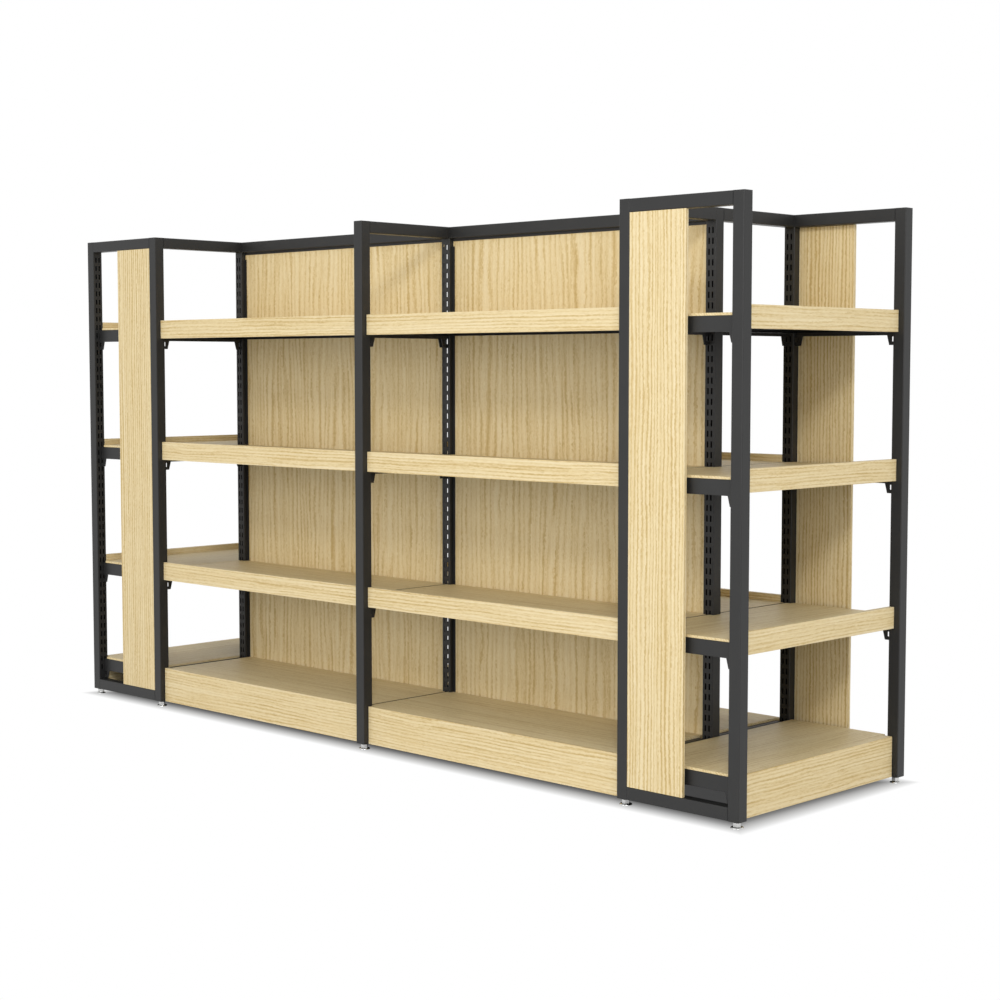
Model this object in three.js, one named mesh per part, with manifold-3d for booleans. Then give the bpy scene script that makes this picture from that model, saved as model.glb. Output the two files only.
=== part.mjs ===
// Double-sided shelving run: two bays, back to back, on a frame of square steel tube with slotted
// uprights, and an open display unit at each end. Shelves and decks lie on arms that hook into
// the slots. Millimetres, +Z up, X along the run, -Y the front face, origin on the floor at the
// middle of the run.

import * as THREE from 'three';
import { mergeVertices } from 'three/addons/utils/BufferGeometryUtils.js';
import Module from 'manifold-3d';

const wasm = await Module();
wasm.setup();

// Frame
const TUBE = 30;
const TUBE_WALL = 1.5;
const POST_HEIGHT = 1345;
const BAY_PITCH = 889; // from frame to frame along the run
const HALF_DEPTH = 311.5; // from the centre uprights to the front or rear posts
const END_PITCH = 313.5; // from the last frame to the outer posts of an end unit
const BUTT_GAP = 0.3; // between an end and the tube that it butts against

// Slots in the centre uprights
const SLOT_WIDTH = 4.5;
const SLOT_HEIGHT = 14.5;
const SLOT_PITCH = 25;
const SLOT_COLUMN = 5.5; // from the middle of the tube to either column
const FIRST_SLOT = 60.5; // from the foot of the tube to the bottom of the lowest slot
const SLOT_TOP_MARGIN = 45; // least distance from the highest slot to the top of the tube

// Levels, as rows of slots counted from the lowest
const DECK_ROW = 0;
const SHELF_ROWS = { lower: 12, middle: 26, upper: 40 };

// Arms
const ARM_THICKNESS = 2.5;
const ARM_HEIGHT = 35;
const ARM_BELOW_SLOT = 11.5; // from the bottom of its slot down to a shelf arm's lower edge
const DECK_ARM_BELOW_SLOT = 4;
const ARM_EMBED = 0.75; // weld depth into the post's wall
const HOOK_DROP = 23; // from the arm's lower edge to the foot of its hook tab
const HOOK_TOP_WIDTH = 22;
const HOOK_FOOT_WIDTH = 16;
const WINDOW_DROP = 3; // from the arm's lower edge to the window in the tab
const WINDOW_WIDTH = 8.5;
const WINDOW_HEIGHT = 11.5;
const TOOTH_REACH = 4; // how far the hook goes into its slot
const TOOTH_CLEARANCE = 1;

// Shelves and decks
const BOARD_THICKNESS = 6;
const BOARD_EDGE = 3.5; // from a board's end to the middle plane of the frame
const BOARD_CLEARANCE = 1; // from a board to posts, uprights and panel channels
const FASCIA_THICKNESS = 15;
const FASCIA_HEIGHT = 50;
const LIP_HEIGHT = 17.5; // how far a shelf's fascia stands above its board
const TRAY_DEPTH = 28;
const TRAY_WALL = 2;
const TRAY_CLEARANCE = 3; // from the tray's sides to the arms
const END_STRIP_GAP = 12; // from an end board's side strips to the outer posts
const SEAT_GAP = 0.3; // between a board and the arms under it

// Panels and the channels that hold them
const PANEL_THICKNESS = 4;
const PANEL_EDGE_GAP = 2; // from a panel's edge to the bottom of its channel
const CHANNEL_WALL = 1.2;
const CHANNEL_CLEARANCE = 0.3;
const CHANNEL_DEPTH = 8; // on the uprights
const CHANNEL_TOP_MARGIN = 51; // from the top of an upright to its channels
const RAIL_CHANNEL_DEPTH = 7.5;
const CHANNEL_END_GAP = 3; // from the bottom rail's channel to the upright's
const SIDE_PANEL_WIDTH = 158.5;
const SIDE_PANEL_THICKNESS = 9;

// Levelling feet
const FOOT_HEIGHT = 15; // from the floor to the foot of a post
const FOOT_DISC_RADIUS = 14;
const FOOT_DISC_HEIGHT = 4;
const FOOT_EDGE = 1; // bevel on the disc
const FOOT_HUB_RADIUS = 6;
const NUT_RADIUS = 7.5;
const NUT_HEIGHT = 6;
const NUT_SIDES = 6;
const STEM_RADIUS = 4;
const STEM_ABOVE_PLUG = 6; // how far the stem stands above the plug that it screws into
const STEM_CLEARANCE = 0.3;
const PLUG_HEIGHT = 12; // threaded plug in the foot of a post
const ROUND_STEPS = 8;

// Sizes that follow from the ones above
const TUBE_HALF = TUBE / 2;
const BORE_HALF = TUBE_HALF - TUBE_WALL;
const HALF_BAY = BAY_PITCH / 2;
const RUN_END = BAY_PITCH + END_PITCH;
const CHANNEL_HALF = PANEL_THICKNESS / 2 + CHANNEL_CLEARANCE + CHANNEL_WALL;
const GROOVE_HALF = CHANNEL_HALF - CHANNEL_WALL;
const SLOT_SPAN = POST_HEIGHT - SLOT_TOP_MARGIN - FIRST_SLOT - SLOT_HEIGHT;
const SLOT_ROWS = Math.floor(SLOT_SPAN / SLOT_PITCH) + 1;
const POST_CLEAR = TUBE_HALF + BOARD_CLEARANCE;
const ARM_SIDE = SLOT_COLUMN + ARM_THICKNESS / 2;

const X_AXIS = new THREE.Vector3(1, 0, 0);
const Y_AXIS = new THREE.Vector3(0, 1, 0);
const UP = new THREE.Vector3(0, 0, 1);

const slotBottom = (row) => FIRST_SLOT + row * SLOT_PITCH;
const shelfArmFoot = (row) => slotBottom(row) - ARM_BELOW_SLOT;
const deckArmFoot = () => slotBottom(DECK_ROW) - DECK_ARM_BELOW_SLOT;
const boardFoot = (armFoot) => armFoot + ARM_HEIGHT + SEAT_GAP;

const ARM_LEVELS = [
  { foot: deckArmFoot(), slotRise: DECK_ARM_BELOW_SLOT },
  ...Object.values(SHELF_ROWS).map((row) => ({ foot: shelfArmFoot(row), slotRise: ARM_BELOW_SLOT })),
];

// Finishes
const satinBlack = () => new THREE.MeshStandardMaterial({ color: 0x3d3c3a, roughness: 0.5, metalness: 0.1 });
const paleOak = () => new THREE.MeshStandardMaterial({ color: 0xdcc593, roughness: 0.6, metalness: 0 });
const chrome = () => new THREE.MeshStandardMaterial({ color: 0xd9d9d6, roughness: 0.2, metalness: 1 });

// Solids: closed meshes with shared vertices, for joins and cuts
function solid(geometry) {
  geometry.deleteAttribute('normal');
  geometry.deleteAttribute('uv');
  const merged = mergeVertices(geometry);
  const vertProperties = new Float32Array(merged.attributes.position.array);
  const triVerts = new Uint32Array(merged.index.array);
  return new wasm.Manifold(new wasm.Mesh({ numProp: 3, vertProperties, triVerts }));
}

function geometryOf(manifold) {
  const { vertProperties, triVerts } = manifold.getMesh();
  const geometry = new THREE.BufferGeometry();
  geometry.setAttribute('position', new THREE.BufferAttribute(vertProperties, 3));
  geometry.setIndex(new THREE.BufferAttribute(triVerts, 1));
  geometry.computeVertexNormals();
  return geometry;
}

const joined = (solids) => solids.reduce((whole, piece) => whole.add(piece));

function block([x0, x1], [y0, y1], [z0, z1]) {
  const geometry = new THREE.BoxGeometry(x1 - x0, y1 - y0, z1 - z0);
  geometry.translate((x0 + x1) / 2, (y0 + y1) / 2, (z0 + z1) / 2);
  return solid(geometry);
}

const polygon = (points) => new THREE.Shape(points.map(([x, y]) => new THREE.Vector2(x, y)));

const rectangle = ([x0, x1], [y0, y1]) => polygon([[x0, y0], [x1, y0], [x1, y1], [x0, y1]]);

// An outline drawn along a level direction and up, with its thickness half to each side
function standing(outline, thickness, along) {
  const geometry = new THREE.ExtrudeGeometry(outline, { depth: thickness, bevelEnabled: false });
  geometry.translate(0, 0, -thickness / 2);
  const across = new THREE.Vector3().crossVectors(along, UP);
  geometry.applyMatrix4(new THREE.Matrix4().makeBasis(along, UP, across));
  return geometry;
}

// An outline seen from above, from one height to another
function lying(outline, [z0, z1]) {
  const geometry = new THREE.ExtrudeGeometry(outline, { depth: z1 - z0, bevelEnabled: false });
  geometry.translate(0, 0, z0);
  return solid(geometry);
}

function rod(radius, [z0, z1], sides) {
  const geometry = new THREE.CylinderGeometry(radius, radius, z1 - z0, sides);
  geometry.rotateX(Math.PI / 2);
  geometry.translate(0, 0, (z0 + z1) / 2);
  return solid(geometry);
}

// Centre upright: both slot columns go through it, and a channel on each bay side holds the panel
function centreUpright(baySides) {
  const slots = [];
  for (let row = 0; row < SLOT_ROWS; row += 1) {
    for (const column of [-SLOT_COLUMN, SLOT_COLUMN]) {
      const slotX = [column - SLOT_WIDTH / 2, column + SLOT_WIDTH / 2];
      const slotZ = [slotBottom(row), slotBottom(row) + SLOT_HEIGHT];
      slots.push(block(slotX, [-TUBE, TUBE], slotZ));
    }
  }
  const tube = postOutside().subtract(joined(slots));
  return joined([tube, ...baySides.flatMap((side) => panelChannel(side))]);
}

function panelChannel(side) {
  const root = side * (TUBE_HALF - TUBE_WALL);
  const lip = side * (TUBE_HALF + CHANNEL_DEPTH);
  const x = [Math.min(root, lip), Math.max(root, lip)];
  const z = [TUBE + RAIL_CHANNEL_DEPTH + CHANNEL_END_GAP, POST_HEIGHT - CHANNEL_TOP_MARGIN];
  return [
    block(x, [-CHANNEL_HALF, -GROOVE_HALF], z),
    block(x, [GROOVE_HALF, CHANNEL_HALF], z),
  ];
}

// Arm: a plate with a hook tab and its window at each end, and a tooth that enters the slot
function armOutline(length, tooth) {
  const windowFoot = -WINDOW_DROP - WINDOW_HEIGHT;
  return polygon([
    [-ARM_EMBED, -HOOK_DROP],
    [HOOK_FOOT_WIDTH, -HOOK_DROP],
    [HOOK_TOP_WIDTH, 0],
    [length - HOOK_TOP_WIDTH, 0],
    [length - HOOK_FOOT_WIDTH, -HOOK_DROP],
    [length, -HOOK_DROP],
    [length, windowFoot],
    [length - WINDOW_WIDTH, windowFoot],
    [length - WINDOW_WIDTH, -WINDOW_DROP],
    [length, -WINDOW_DROP],
    ...tooth,
    [length, ARM_HEIGHT],
    [-ARM_EMBED, ARM_HEIGHT],
    [-ARM_EMBED, -WINDOW_DROP],
    [WINDOW_WIDTH, -WINDOW_DROP],
    [WINDOW_WIDTH, windowFoot],
    [-ARM_EMBED, windowFoot],
  ]);
}

function toothOutline(length, slotRise) {
  const foot = slotRise + TOOTH_CLEARANCE;
  const top = slotRise + SLOT_HEIGHT - TOOTH_CLEARANCE;
  const tip = length + TOOTH_REACH;
  return [[length, foot], [tip, foot], [tip, top], [length, top]];
}

// Post with its threaded plug and closed top
function postOutside() {
  return block([-TUBE_HALF, TUBE_HALF], [-TUBE_HALF, TUBE_HALF], [0, POST_HEIGHT]);
}

function postInside() {
  const bore = [-BORE_HALF, BORE_HALF];
  const plugHole = rod(STEM_RADIUS + STEM_CLEARANCE, [-TUBE_WALL, PLUG_HEIGHT + TUBE_WALL], ROUND_STEPS);
  return block(bore, bore, [PLUG_HEIGHT, POST_HEIGHT - TUBE_WALL]).add(plugHole);
}

// Bars run level from the post's middle, at its top and at its foot, and are open at the far end
const BAR_FEET = [0, POST_HEIGHT - TUBE];

function barsOutside(reach, along) {
  return BAR_FEET.map((foot) => {
    const profile = rectangle([0, reach], [foot, foot + TUBE]);
    return solid(standing(profile, TUBE, along));
  });
}

function barsInside(reach, along) {
  return BAR_FEET.map((foot) => {
    const profile = rectangle([TUBE_HALF, reach + TUBE_WALL], [foot + TUBE_WALL, foot + TUBE - TUBE_WALL]);
    return solid(standing(profile, 2 * BORE_HALF, along));
  });
}

// Side frame: post at the origin, bars and arms along +Y to the centre upright
function sideFrame(armColumns) {
  const reach = HALF_DEPTH - TUBE_HALF - BUTT_GAP;
  const armLength = reach - TUBE_HALF;
  const arms = armColumns.flatMap((column) => ARM_LEVELS.map(({ foot, slotRise }) => {
    const plate = standing(armOutline(armLength, toothOutline(armLength, slotRise)), ARM_THICKNESS, Y_AXIS);
    return solid(plate.translate(column, TUBE_HALF, foot));
  }));
  const outside = joined([postOutside(), ...barsOutside(reach, Y_AXIS)]);
  const inside = joined([postInside(), ...barsInside(reach, Y_AXIS)]);
  return joined([outside.subtract(inside), ...arms]);
}

// End frame: outer post at the origin, bars and arms along -X to the inner post
function endFrame(innerSide) {
  const along = X_AXIS.clone().negate();
  const reach = END_PITCH - TUBE_HALF - BUTT_GAP;
  const armLength = reach - TUBE_HALF;
  const arms = ARM_LEVELS.map(({ foot }) => {
    const plate = standing(armOutline(armLength, []), ARM_THICKNESS, along);
    return solid(plate.translate(-TUBE_HALF, innerSide * SLOT_COLUMN, foot));
  });
  const outside = joined([postOutside(), ...barsOutside(reach, along)]);
  const inside = joined([postInside(), ...barsInside(reach, along)]);
  return joined([outside.subtract(inside), ...arms]);
}

// Rails: square tube with a channel for the panel's edge along one side
function rail(channelSide) {
  const railFace = channelSide > 0 ? TUBE : 0;
  const lip = railFace + channelSide * RAIL_CHANNEL_DEPTH;
  const back = TUBE - railFace;
  const profile = polygon([
    [-TUBE_HALF, back],
    [TUBE_HALF, back],
    [TUBE_HALF, railFace],
    [CHANNEL_HALF, railFace],
    [CHANNEL_HALF, lip],
    [GROOVE_HALF, lip],
    [GROOVE_HALF, railFace],
    [-GROOVE_HALF, railFace],
    [-GROOVE_HALF, lip],
    [-CHANNEL_HALF, lip],
    [-CHANNEL_HALF, railFace],
    [-TUBE_HALF, railFace],
  ]);
  profile.holes.push(rectangle([-BORE_HALF, BORE_HALF], [TUBE_WALL, TUBE - TUBE_WALL]));
  return solid(standing(profile, BAY_PITCH - TUBE - 2 * BUTT_GAP, Y_AXIS));
}

function backPanel() {
  const halfWidth = HALF_BAY - TUBE_HALF - PANEL_EDGE_GAP;
  const half = PANEL_THICKNESS / 2;
  const z = [TUBE + PANEL_EDGE_GAP, POST_HEIGHT - TUBE - PANEL_EDGE_GAP];
  return block([-halfWidth, halfWidth], [-half, half], z);
}

// Side panel of an end unit: beside the inner post, flush with the frame's outer face
function sidePanel() {
  const inner = TUBE_HALF + BUTT_GAP;
  const y = [-TUBE_HALF, SIDE_PANEL_THICKNESS - TUBE_HALF];
  const z = [TUBE + BUTT_GAP, POST_HEIGHT - TUBE - BUTT_GAP];
  return block([inner, inner + SIDE_PANEL_WIDTH], y, z);
}

// Tray: the folded rim under a board, between the arms
function trayRim([x0, x1], [y0, y1], boardZ) {
  const rim = rectangle([x0, x1], [y0, y1]);
  rim.holes.push(rectangle([x0 + TRAY_WALL, x1 - TRAY_WALL], [y0 + TRAY_WALL, y1 - TRAY_WALL]));
  return lying(rim, [boardZ - TRAY_DEPTH, boardZ + BOARD_THICKNESS / 2]);
}

const shelfFascia = (boardZ) => {
  const top = boardZ + BOARD_THICKNESS + LIP_HEIGHT;
  return [top - FASCIA_HEIGHT, top];
};
const kickFascia = (boardZ) => [0, boardZ + BOARD_THICKNESS];

// Main board: from the fascia to the back panel, notched round posts and uprights
function mainBoard(boardZ, fasciaZ) {
  const end = HALF_BAY - BOARD_EDGE;
  const clear = HALF_BAY - POST_CLEAR;
  const fasciaY = [-HALF_DEPTH, -HALF_DEPTH + FASCIA_THICKNESS];
  const front = -HALF_DEPTH + FASCIA_THICKNESS / 2;
  const behindPost = -HALF_DEPTH + POST_CLEAR;
  const beforeUpright = -POST_CLEAR;
  const back = -CHANNEL_HALF - BOARD_CLEARANCE;
  const rightHalf = [
    [clear, front],
    [clear, behindPost],
    [end, behindPost],
    [end, beforeUpright],
    [clear, beforeUpright],
    [clear, back],
  ];
  const leftHalf = rightHalf.map(([x, y]) => [-x, y]).reverse();
  const traySide = HALF_BAY - ARM_SIDE - TRAY_CLEARANCE;
  return joined([
    lying(polygon([...rightHalf, ...leftHalf]), [boardZ, boardZ + BOARD_THICKNESS]),
    block([-clear, clear], fasciaY, fasciaZ),
    trayRim([-traySide, traySide], [behindPost, beforeUpright], boardZ),
  ]);
}

// End board: from the last frame to the outer fascia, notched round the four posts and the upright
function endBoard(boardZ, fasciaZ, innerEdge) {
  const side = HALF_DEPTH - BOARD_EDGE;
  const clearY = HALF_DEPTH - POST_CLEAR;
  const clearX = END_PITCH - POST_CLEAR;
  const fasciaX = [END_PITCH - FASCIA_THICKNESS, END_PITCH];
  const rearHalf = [
    [END_PITCH - FASCIA_THICKNESS / 2, clearY],
    [clearX - END_STRIP_GAP, clearY],
    [clearX - END_STRIP_GAP, side],
    [POST_CLEAR, side],
    [POST_CLEAR, clearY],
  ];
  const innerTongue = [[innerEdge, clearY], [innerEdge, POST_CLEAR], [POST_CLEAR, POST_CLEAR]];
  const half = innerEdge < POST_CLEAR ? [...rearHalf, ...innerTongue] : rearHalf;
  const frontHalf = half.map(([x, y]) => [x, -y]).reverse();
  const traySide = HALF_DEPTH - ARM_SIDE - TRAY_CLEARANCE;
  return joined([
    lying(polygon([...half, ...frontHalf]), [boardZ, boardZ + BOARD_THICKNESS]),
    block(fasciaX, [-clearY, clearY], fasciaZ),
    trayRim([POST_CLEAR, clearX], [-traySide, traySide], boardZ),
  ]);
}

// Levelling foot: bevelled disc, hub, hexagon and stem
function levellingFoot() {
  const nutFoot = FOOT_DISC_HEIGHT + (FOOT_HEIGHT - FOOT_DISC_HEIGHT - NUT_HEIGHT) / 2;
  const stemTop = FOOT_HEIGHT + PLUG_HEIGHT + STEM_ABOVE_PLUG;
  const profile = [
    [0, 0],
    [FOOT_DISC_RADIUS - FOOT_EDGE, 0],
    [FOOT_DISC_RADIUS, FOOT_EDGE],
    [FOOT_DISC_RADIUS, FOOT_DISC_HEIGHT - FOOT_EDGE],
    [FOOT_HUB_RADIUS, FOOT_DISC_HEIGHT],
    [STEM_RADIUS, nutFoot],
    [STEM_RADIUS, stemTop],
    [0, stemTop],
  ];
  const turned = new THREE.LatheGeometry(profile.map(([r, z]) => new THREE.Vector2(r, z)), ROUND_STEPS);
  return solid(turned.rotateX(Math.PI / 2)).add(rod(NUT_RADIUS, [nutFoot, nutFoot + NUT_HEIGHT], NUT_SIDES));
}

// The whole run
const run = new THREE.Group();
const frameLevel = new THREE.Group();
frameLevel.position.z = FOOT_HEIGHT;
run.add(frameLevel);

function place(parent, name, manifold, material, position, turn = 0) {
  const mesh = new THREE.Mesh(geometryOf(manifold), material);
  mesh.name = name;
  mesh.position.set(...position);
  mesh.rotation.z = turn;
  parent.add(mesh);
}

const FRAME_PLANES = [
  { name: 'left', x: -BAY_PITCH, baySides: [1] },
  { name: 'middle', x: 0, baySides: [-1, 1] },
  { name: 'right', x: BAY_PITCH, baySides: [-1] },
];
const FACES = [
  { name: 'front', side: -1, turn: 0 },
  { name: 'rear', side: 1, turn: Math.PI },
];
const BAYS = [
  { name: 'left', x: -HALF_BAY },
  { name: 'right', x: HALF_BAY },
];
const ENDS = [
  { name: 'left', side: -1, turn: Math.PI },
  { name: 'right', side: 1, turn: 0 },
];

for (const { name, x, baySides } of FRAME_PLANES) {
  place(frameLevel, `centre_upright_${name}`, centreUpright(baySides), satinBlack(), [x, 0, 0]);
  for (const face of FACES) {
    const armColumns = baySides.map((baySide) => -face.side * baySide * SLOT_COLUMN);
    const position = [x, face.side * HALF_DEPTH, 0];
    place(frameLevel, `side_frame_${face.name}_${name}`, sideFrame(armColumns), satinBlack(), position, face.turn);
  }
}

for (const bay of BAYS) {
  place(frameLevel, `top_rail_${bay.name}`, rail(-1), satinBlack(), [bay.x, 0, POST_HEIGHT - TUBE]);
  place(frameLevel, `bottom_rail_${bay.name}`, rail(1), satinBlack(), [bay.x, 0, 0]);
  place(frameLevel, `back_panel_${bay.name}`, backPanel(), paleOak(), [bay.x, 0, 0]);
  for (const face of FACES) {
    const deckZ = boardFoot(deckArmFoot());
    const deck = mainBoard(deckZ, kickFascia(deckZ));
    place(frameLevel, `deck_${face.name}_${bay.name}`, deck, paleOak(), [bay.x, 0, 0], face.turn);
    for (const [level, row] of Object.entries(SHELF_ROWS)) {
      const shelfZ = boardFoot(shelfArmFoot(row));
      const shelf = mainBoard(shelfZ, shelfFascia(shelfZ));
      const name = `shelf_${face.name}_${bay.name}_${level}`;
      place(frameLevel, name, shelf, paleOak(), [bay.x, 0, 0], face.turn);
    }
  }
}

for (const end of ENDS) {
  for (const face of FACES) {
    const corner = `${face.name}_${end.name}`;
    const innerSide = -face.side * end.side;
    const outerPost = [end.side * RUN_END, face.side * HALF_DEPTH, 0];
    place(frameLevel, `end_frame_${corner}`, endFrame(innerSide), satinBlack(), outerPost, end.turn);
    const panelX = face.side === -end.side ? 0 : end.side * (TUBE + 2 * BUTT_GAP + SIDE_PANEL_WIDTH);
    const innerPost = [end.side * BAY_PITCH + panelX, face.side * HALF_DEPTH, 0];
    place(frameLevel, `side_panel_${corner}`, sidePanel(), paleOak(), innerPost, face.turn);
  }
  const lastFrame = [end.side * BAY_PITCH, 0, 0];
  const deckZ = boardFoot(deckArmFoot());
  const deck = endBoard(deckZ, kickFascia(deckZ), POST_CLEAR);
  place(frameLevel, `end_deck_${end.name}`, deck, paleOak(), lastFrame, end.turn);
  for (const [level, row] of Object.entries(SHELF_ROWS)) {
    const shelfZ = boardFoot(shelfArmFoot(row));
    const shelf = endBoard(shelfZ, shelfFascia(shelfZ), BOARD_EDGE);
    place(frameLevel, `end_shelf_${end.name}_${level}`, shelf, paleOak(), lastFrame, end.turn);
  }
}

const FOOT_COLUMNS = [
  { name: 'outer_left', x: -RUN_END },
  ...FRAME_PLANES,
  { name: 'outer_right', x: RUN_END },
];
for (const face of FACES) {
  for (const { name, x } of FOOT_COLUMNS) {
    const underPost = [x, face.side * HALF_DEPTH, 0];
    place(run, `levelling_foot_${face.name}_${name}`, levellingFoot(), chrome(), underPost);
  }
}

export default run;
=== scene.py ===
# %% [markdown]
# # Double-sided shelving run
#
# The real object is a free-standing run of shelving for a library or a shop: two bays, back to
# back, on a frame of black square tube, with an open display unit at each end. Oak boards lie on
# steel arms that hook into slotted uprights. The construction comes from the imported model, which
# is loaded as a fixed frame. This script makes the visible pieces and their finishes around it.

# %% Load the frame
import math

import bmesh
import bpy
from mathutils import Matrix, Vector


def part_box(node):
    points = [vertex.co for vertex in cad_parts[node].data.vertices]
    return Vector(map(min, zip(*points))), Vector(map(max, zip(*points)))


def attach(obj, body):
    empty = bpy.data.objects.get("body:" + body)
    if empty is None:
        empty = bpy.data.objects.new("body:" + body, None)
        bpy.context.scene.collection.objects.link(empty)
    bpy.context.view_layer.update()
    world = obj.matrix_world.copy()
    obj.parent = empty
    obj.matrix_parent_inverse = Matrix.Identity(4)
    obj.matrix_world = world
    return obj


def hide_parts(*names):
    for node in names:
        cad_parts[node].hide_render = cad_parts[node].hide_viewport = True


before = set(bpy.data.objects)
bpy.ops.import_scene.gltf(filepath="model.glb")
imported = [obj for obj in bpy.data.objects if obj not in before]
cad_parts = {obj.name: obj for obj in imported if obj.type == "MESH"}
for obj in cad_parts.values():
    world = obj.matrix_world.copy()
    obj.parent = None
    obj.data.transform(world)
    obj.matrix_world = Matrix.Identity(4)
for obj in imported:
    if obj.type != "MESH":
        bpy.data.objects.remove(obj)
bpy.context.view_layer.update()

# %% [markdown]
# ## Sizes
#
# Blender works in metres, so a size in millimetres is written with MM. What the frame can tell is
# read from it: the tube, the height of the posts, the places of the frames and the depth of the
# run. The rest are sizes of folded steel and board, most of which the frame's solids also have.

# %% Sizes
MM = 0.001
post_low, post_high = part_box("side_frame_front_middle")

TUBE = post_high.x - post_low.x
TUBE_HALF = TUBE / 2
POST_FOOT = post_low.z
POST_TOP = post_high.z
HALF_DEPTH = -post_low.y - TUBE_HALF
RUN_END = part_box("end_frame_front_right")[1].x - TUBE_HALF
LAST_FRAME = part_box("side_frame_front_right")[0].x + TUBE_HALF
END_PITCH = RUN_END - LAST_FRAME
FRAME_X = {"left": -LAST_FRAME, "middle": 0.0, "right": LAST_FRAME}
FACES = {"front": -1, "rear": 1}
ENDS = {"left": -1, "right": 1}

TUBE_WALL = 1.5 * MM
TUBE_ROUND = 2.0 * MM
PLUG_HEIGHT = 12 * MM

SLOT_WIDTH = 4.5 * MM
SLOT_HEIGHT = 14.5 * MM
SLOT_PITCH = 25 * MM
SLOT_COLUMN = 5.5 * MM
SLOT_ROWS = 50
FIRST_SLOT_RISE = 60.5 * MM
FIRST_SLOT = POST_FOOT + FIRST_SLOT_RISE

BOARD_THICKNESS = 6 * MM
BOARD_EDGE = 3.5 * MM
BOARD_CLEARANCE = 1 * MM
POST_CLEAR = TUBE_HALF + BOARD_CLEARANCE
LIP_HEIGHT = 17.5 * MM
FASCIA_THICKNESS = 15 * MM
ARM_THICKNESS = 2.5 * MM
ARM_HEIGHT = 35 * MM
SEAT_GAP = 0.3 * MM
PANEL_THICKNESS = 4 * MM
PANEL_GAP = 0.3 * MM
CHANNEL_WALL = 1.2 * MM
CHANNEL_HALF = PANEL_THICKNESS / 2 + PANEL_GAP + CHANNEL_WALL

print("tube", round(TUBE / MM, 1), "mm, run", round(2 * (RUN_END + TUBE_HALF) / MM), "mm")

# %% [markdown]
# ## Shader maths in Python
#
# A finish is a graph of nodes. Written out node by node, even a short formula takes many lines.
# This class wraps a socket instead, so that `1 - mask` or `pores * 0.3` adds the Math nodes by
# itself. Its one method `node` makes any other node from its type, settings and inputs. The
# nodes that several finishes need have a short function each.


# %% A socket that can be calculated with
class Flow:
    """An output socket of a node tree, or the bare tree to start from."""

    def __init__(self, tree, socket=None):
        self.tree = tree
        self.socket = socket

    def node(self, kind, settings=(), inputs=(), output=0):
        made = self.tree.nodes.new(kind)
        for name, value in dict(settings).items():
            if name == "stops":
                self.fill_ramp(made.color_ramp, value)
            else:
                setattr(made, name, value)
        for name, value in dict(inputs).items():
            if isinstance(value, Flow):
                self.tree.links.new(value.socket, made.inputs[name])
            else:
                made.inputs[name].default_value = value
        return Flow(self.tree, made.outputs[output])

    @staticmethod
    def fill_ramp(ramp, stops):
        while len(ramp.elements) < len(stops):
            ramp.elements.new(1.0)
        for element, (position, colour) in zip(ramp.elements, stops):
            element.position = position
            element.color = colour

    def math(self, operation, first, second=0.0):
        return self.node("ShaderNodeMath", {"operation": operation}, {0: first, 1: second})

    def __add__(self, other):
        return self.math("ADD", self, other)

    def __sub__(self, other):
        return self.math("SUBTRACT", self, other)

    def __rsub__(self, other):
        return self.math("SUBTRACT", other, self)

    def __mul__(self, other):
        return self.math("MULTIPLY", self, other)

    __radd__ = __add__
    __rmul__ = __mul__


# %% Finishes from nodes
def grey(value):
    return (value, value, value, 1.0)


def new_finish(name, **constants):
    """A material with a Principled shader, whose constant inputs are set on its own sockets."""
    material = bpy.data.materials.new(name)
    material.use_nodes = True
    shader = material.node_tree.nodes["Principled BSDF"]
    for socket, value in constants.items():
        shader.inputs[socket.replace("_", " ")].default_value = value
    return material, Flow(material.node_tree), shader


def feed(flow, shader, **sockets):
    for socket, value in sockets.items():
        flow.tree.links.new(value.socket, shader.inputs[socket.replace("_", " ")])


def object_place(flow):
    return flow.node("ShaderNodeTexCoord", output="Object")


def noise(flow, vector, scale, detail):
    sockets = {"Vector": vector, "Scale": scale, "Detail": detail}
    return flow.node("ShaderNodeTexNoise", inputs=sockets)


def colour_ramp(flow, value, *stops):
    return flow.node("ShaderNodeValToRGB", {"stops": stops}, {0: value})


def blend(flow, share, first, second):
    sockets = {0: share, 6: first, 7: second}
    return flow.node("ShaderNodeMix", {"data_type": "RGBA"}, sockets, output=2)


# %% [markdown]
# ## Oak laminate
#
# The boards and panels are faced with pale, straight-grained oak. Seen from a step away its figure
# is a dense comb of cream and tan lines along the grain, about a centimetre apart, that waver
# instead of running like ruled ones. Closer by there are finer threads, flecks and short dark
# pores. A picture of wood would repeat and show its seams, so the figure is worked out: a sine
# across the grain gives the comb, noises push its lines sideways, and every finer scale is a noise
# drawn out along the grain. The pattern lies in Object coordinates, so no two pieces have the same
# stretch of it. One function serves the four cuts: boards along and across the run, side panels,
# and back panels with a wider figure. Where two boards meet, their sawn ends have no facing, and
# they are painted a dark brown: a raw edge, darkened further as painted shade in the gap.

# %% Oak
GRAIN_ORDER = {"X": (0, 1, 2), "Y": (1, 0, 2), "Z": (2, 0, 1)}
OAK_CREAM = (0.880, 0.745, 0.478, 1.0)
OAK_HONEY = (0.800, 0.640, 0.350, 1.0)
OAK_TAN = (0.610, 0.435, 0.178, 1.0)
OAK_PORE = (0.490, 0.330, 0.120, 1.0)
TONE_STOPS = ((0.12, OAK_TAN), (0.48, OAK_HONEY), (0.86, OAK_CREAM))

# Scales of the noises per metre, along the grain and across it
SWEEP_SCALE = (3.5, 9.0)
WAVER_SCALE = (9.0, 26.0)
NIBBLE_SCALE = (130.0, 150.0)
THREAD_SCALE = (8.0, 400.0)
FLECK_SCALE = (75.0, 320.0)
PORE_SCALE = (28.0, 700.0)
DRIFT_SCALE = (0.6, 42.0)
SPREAD_ALONG = 0.9
STREAK_ALONG = 1.8

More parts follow.
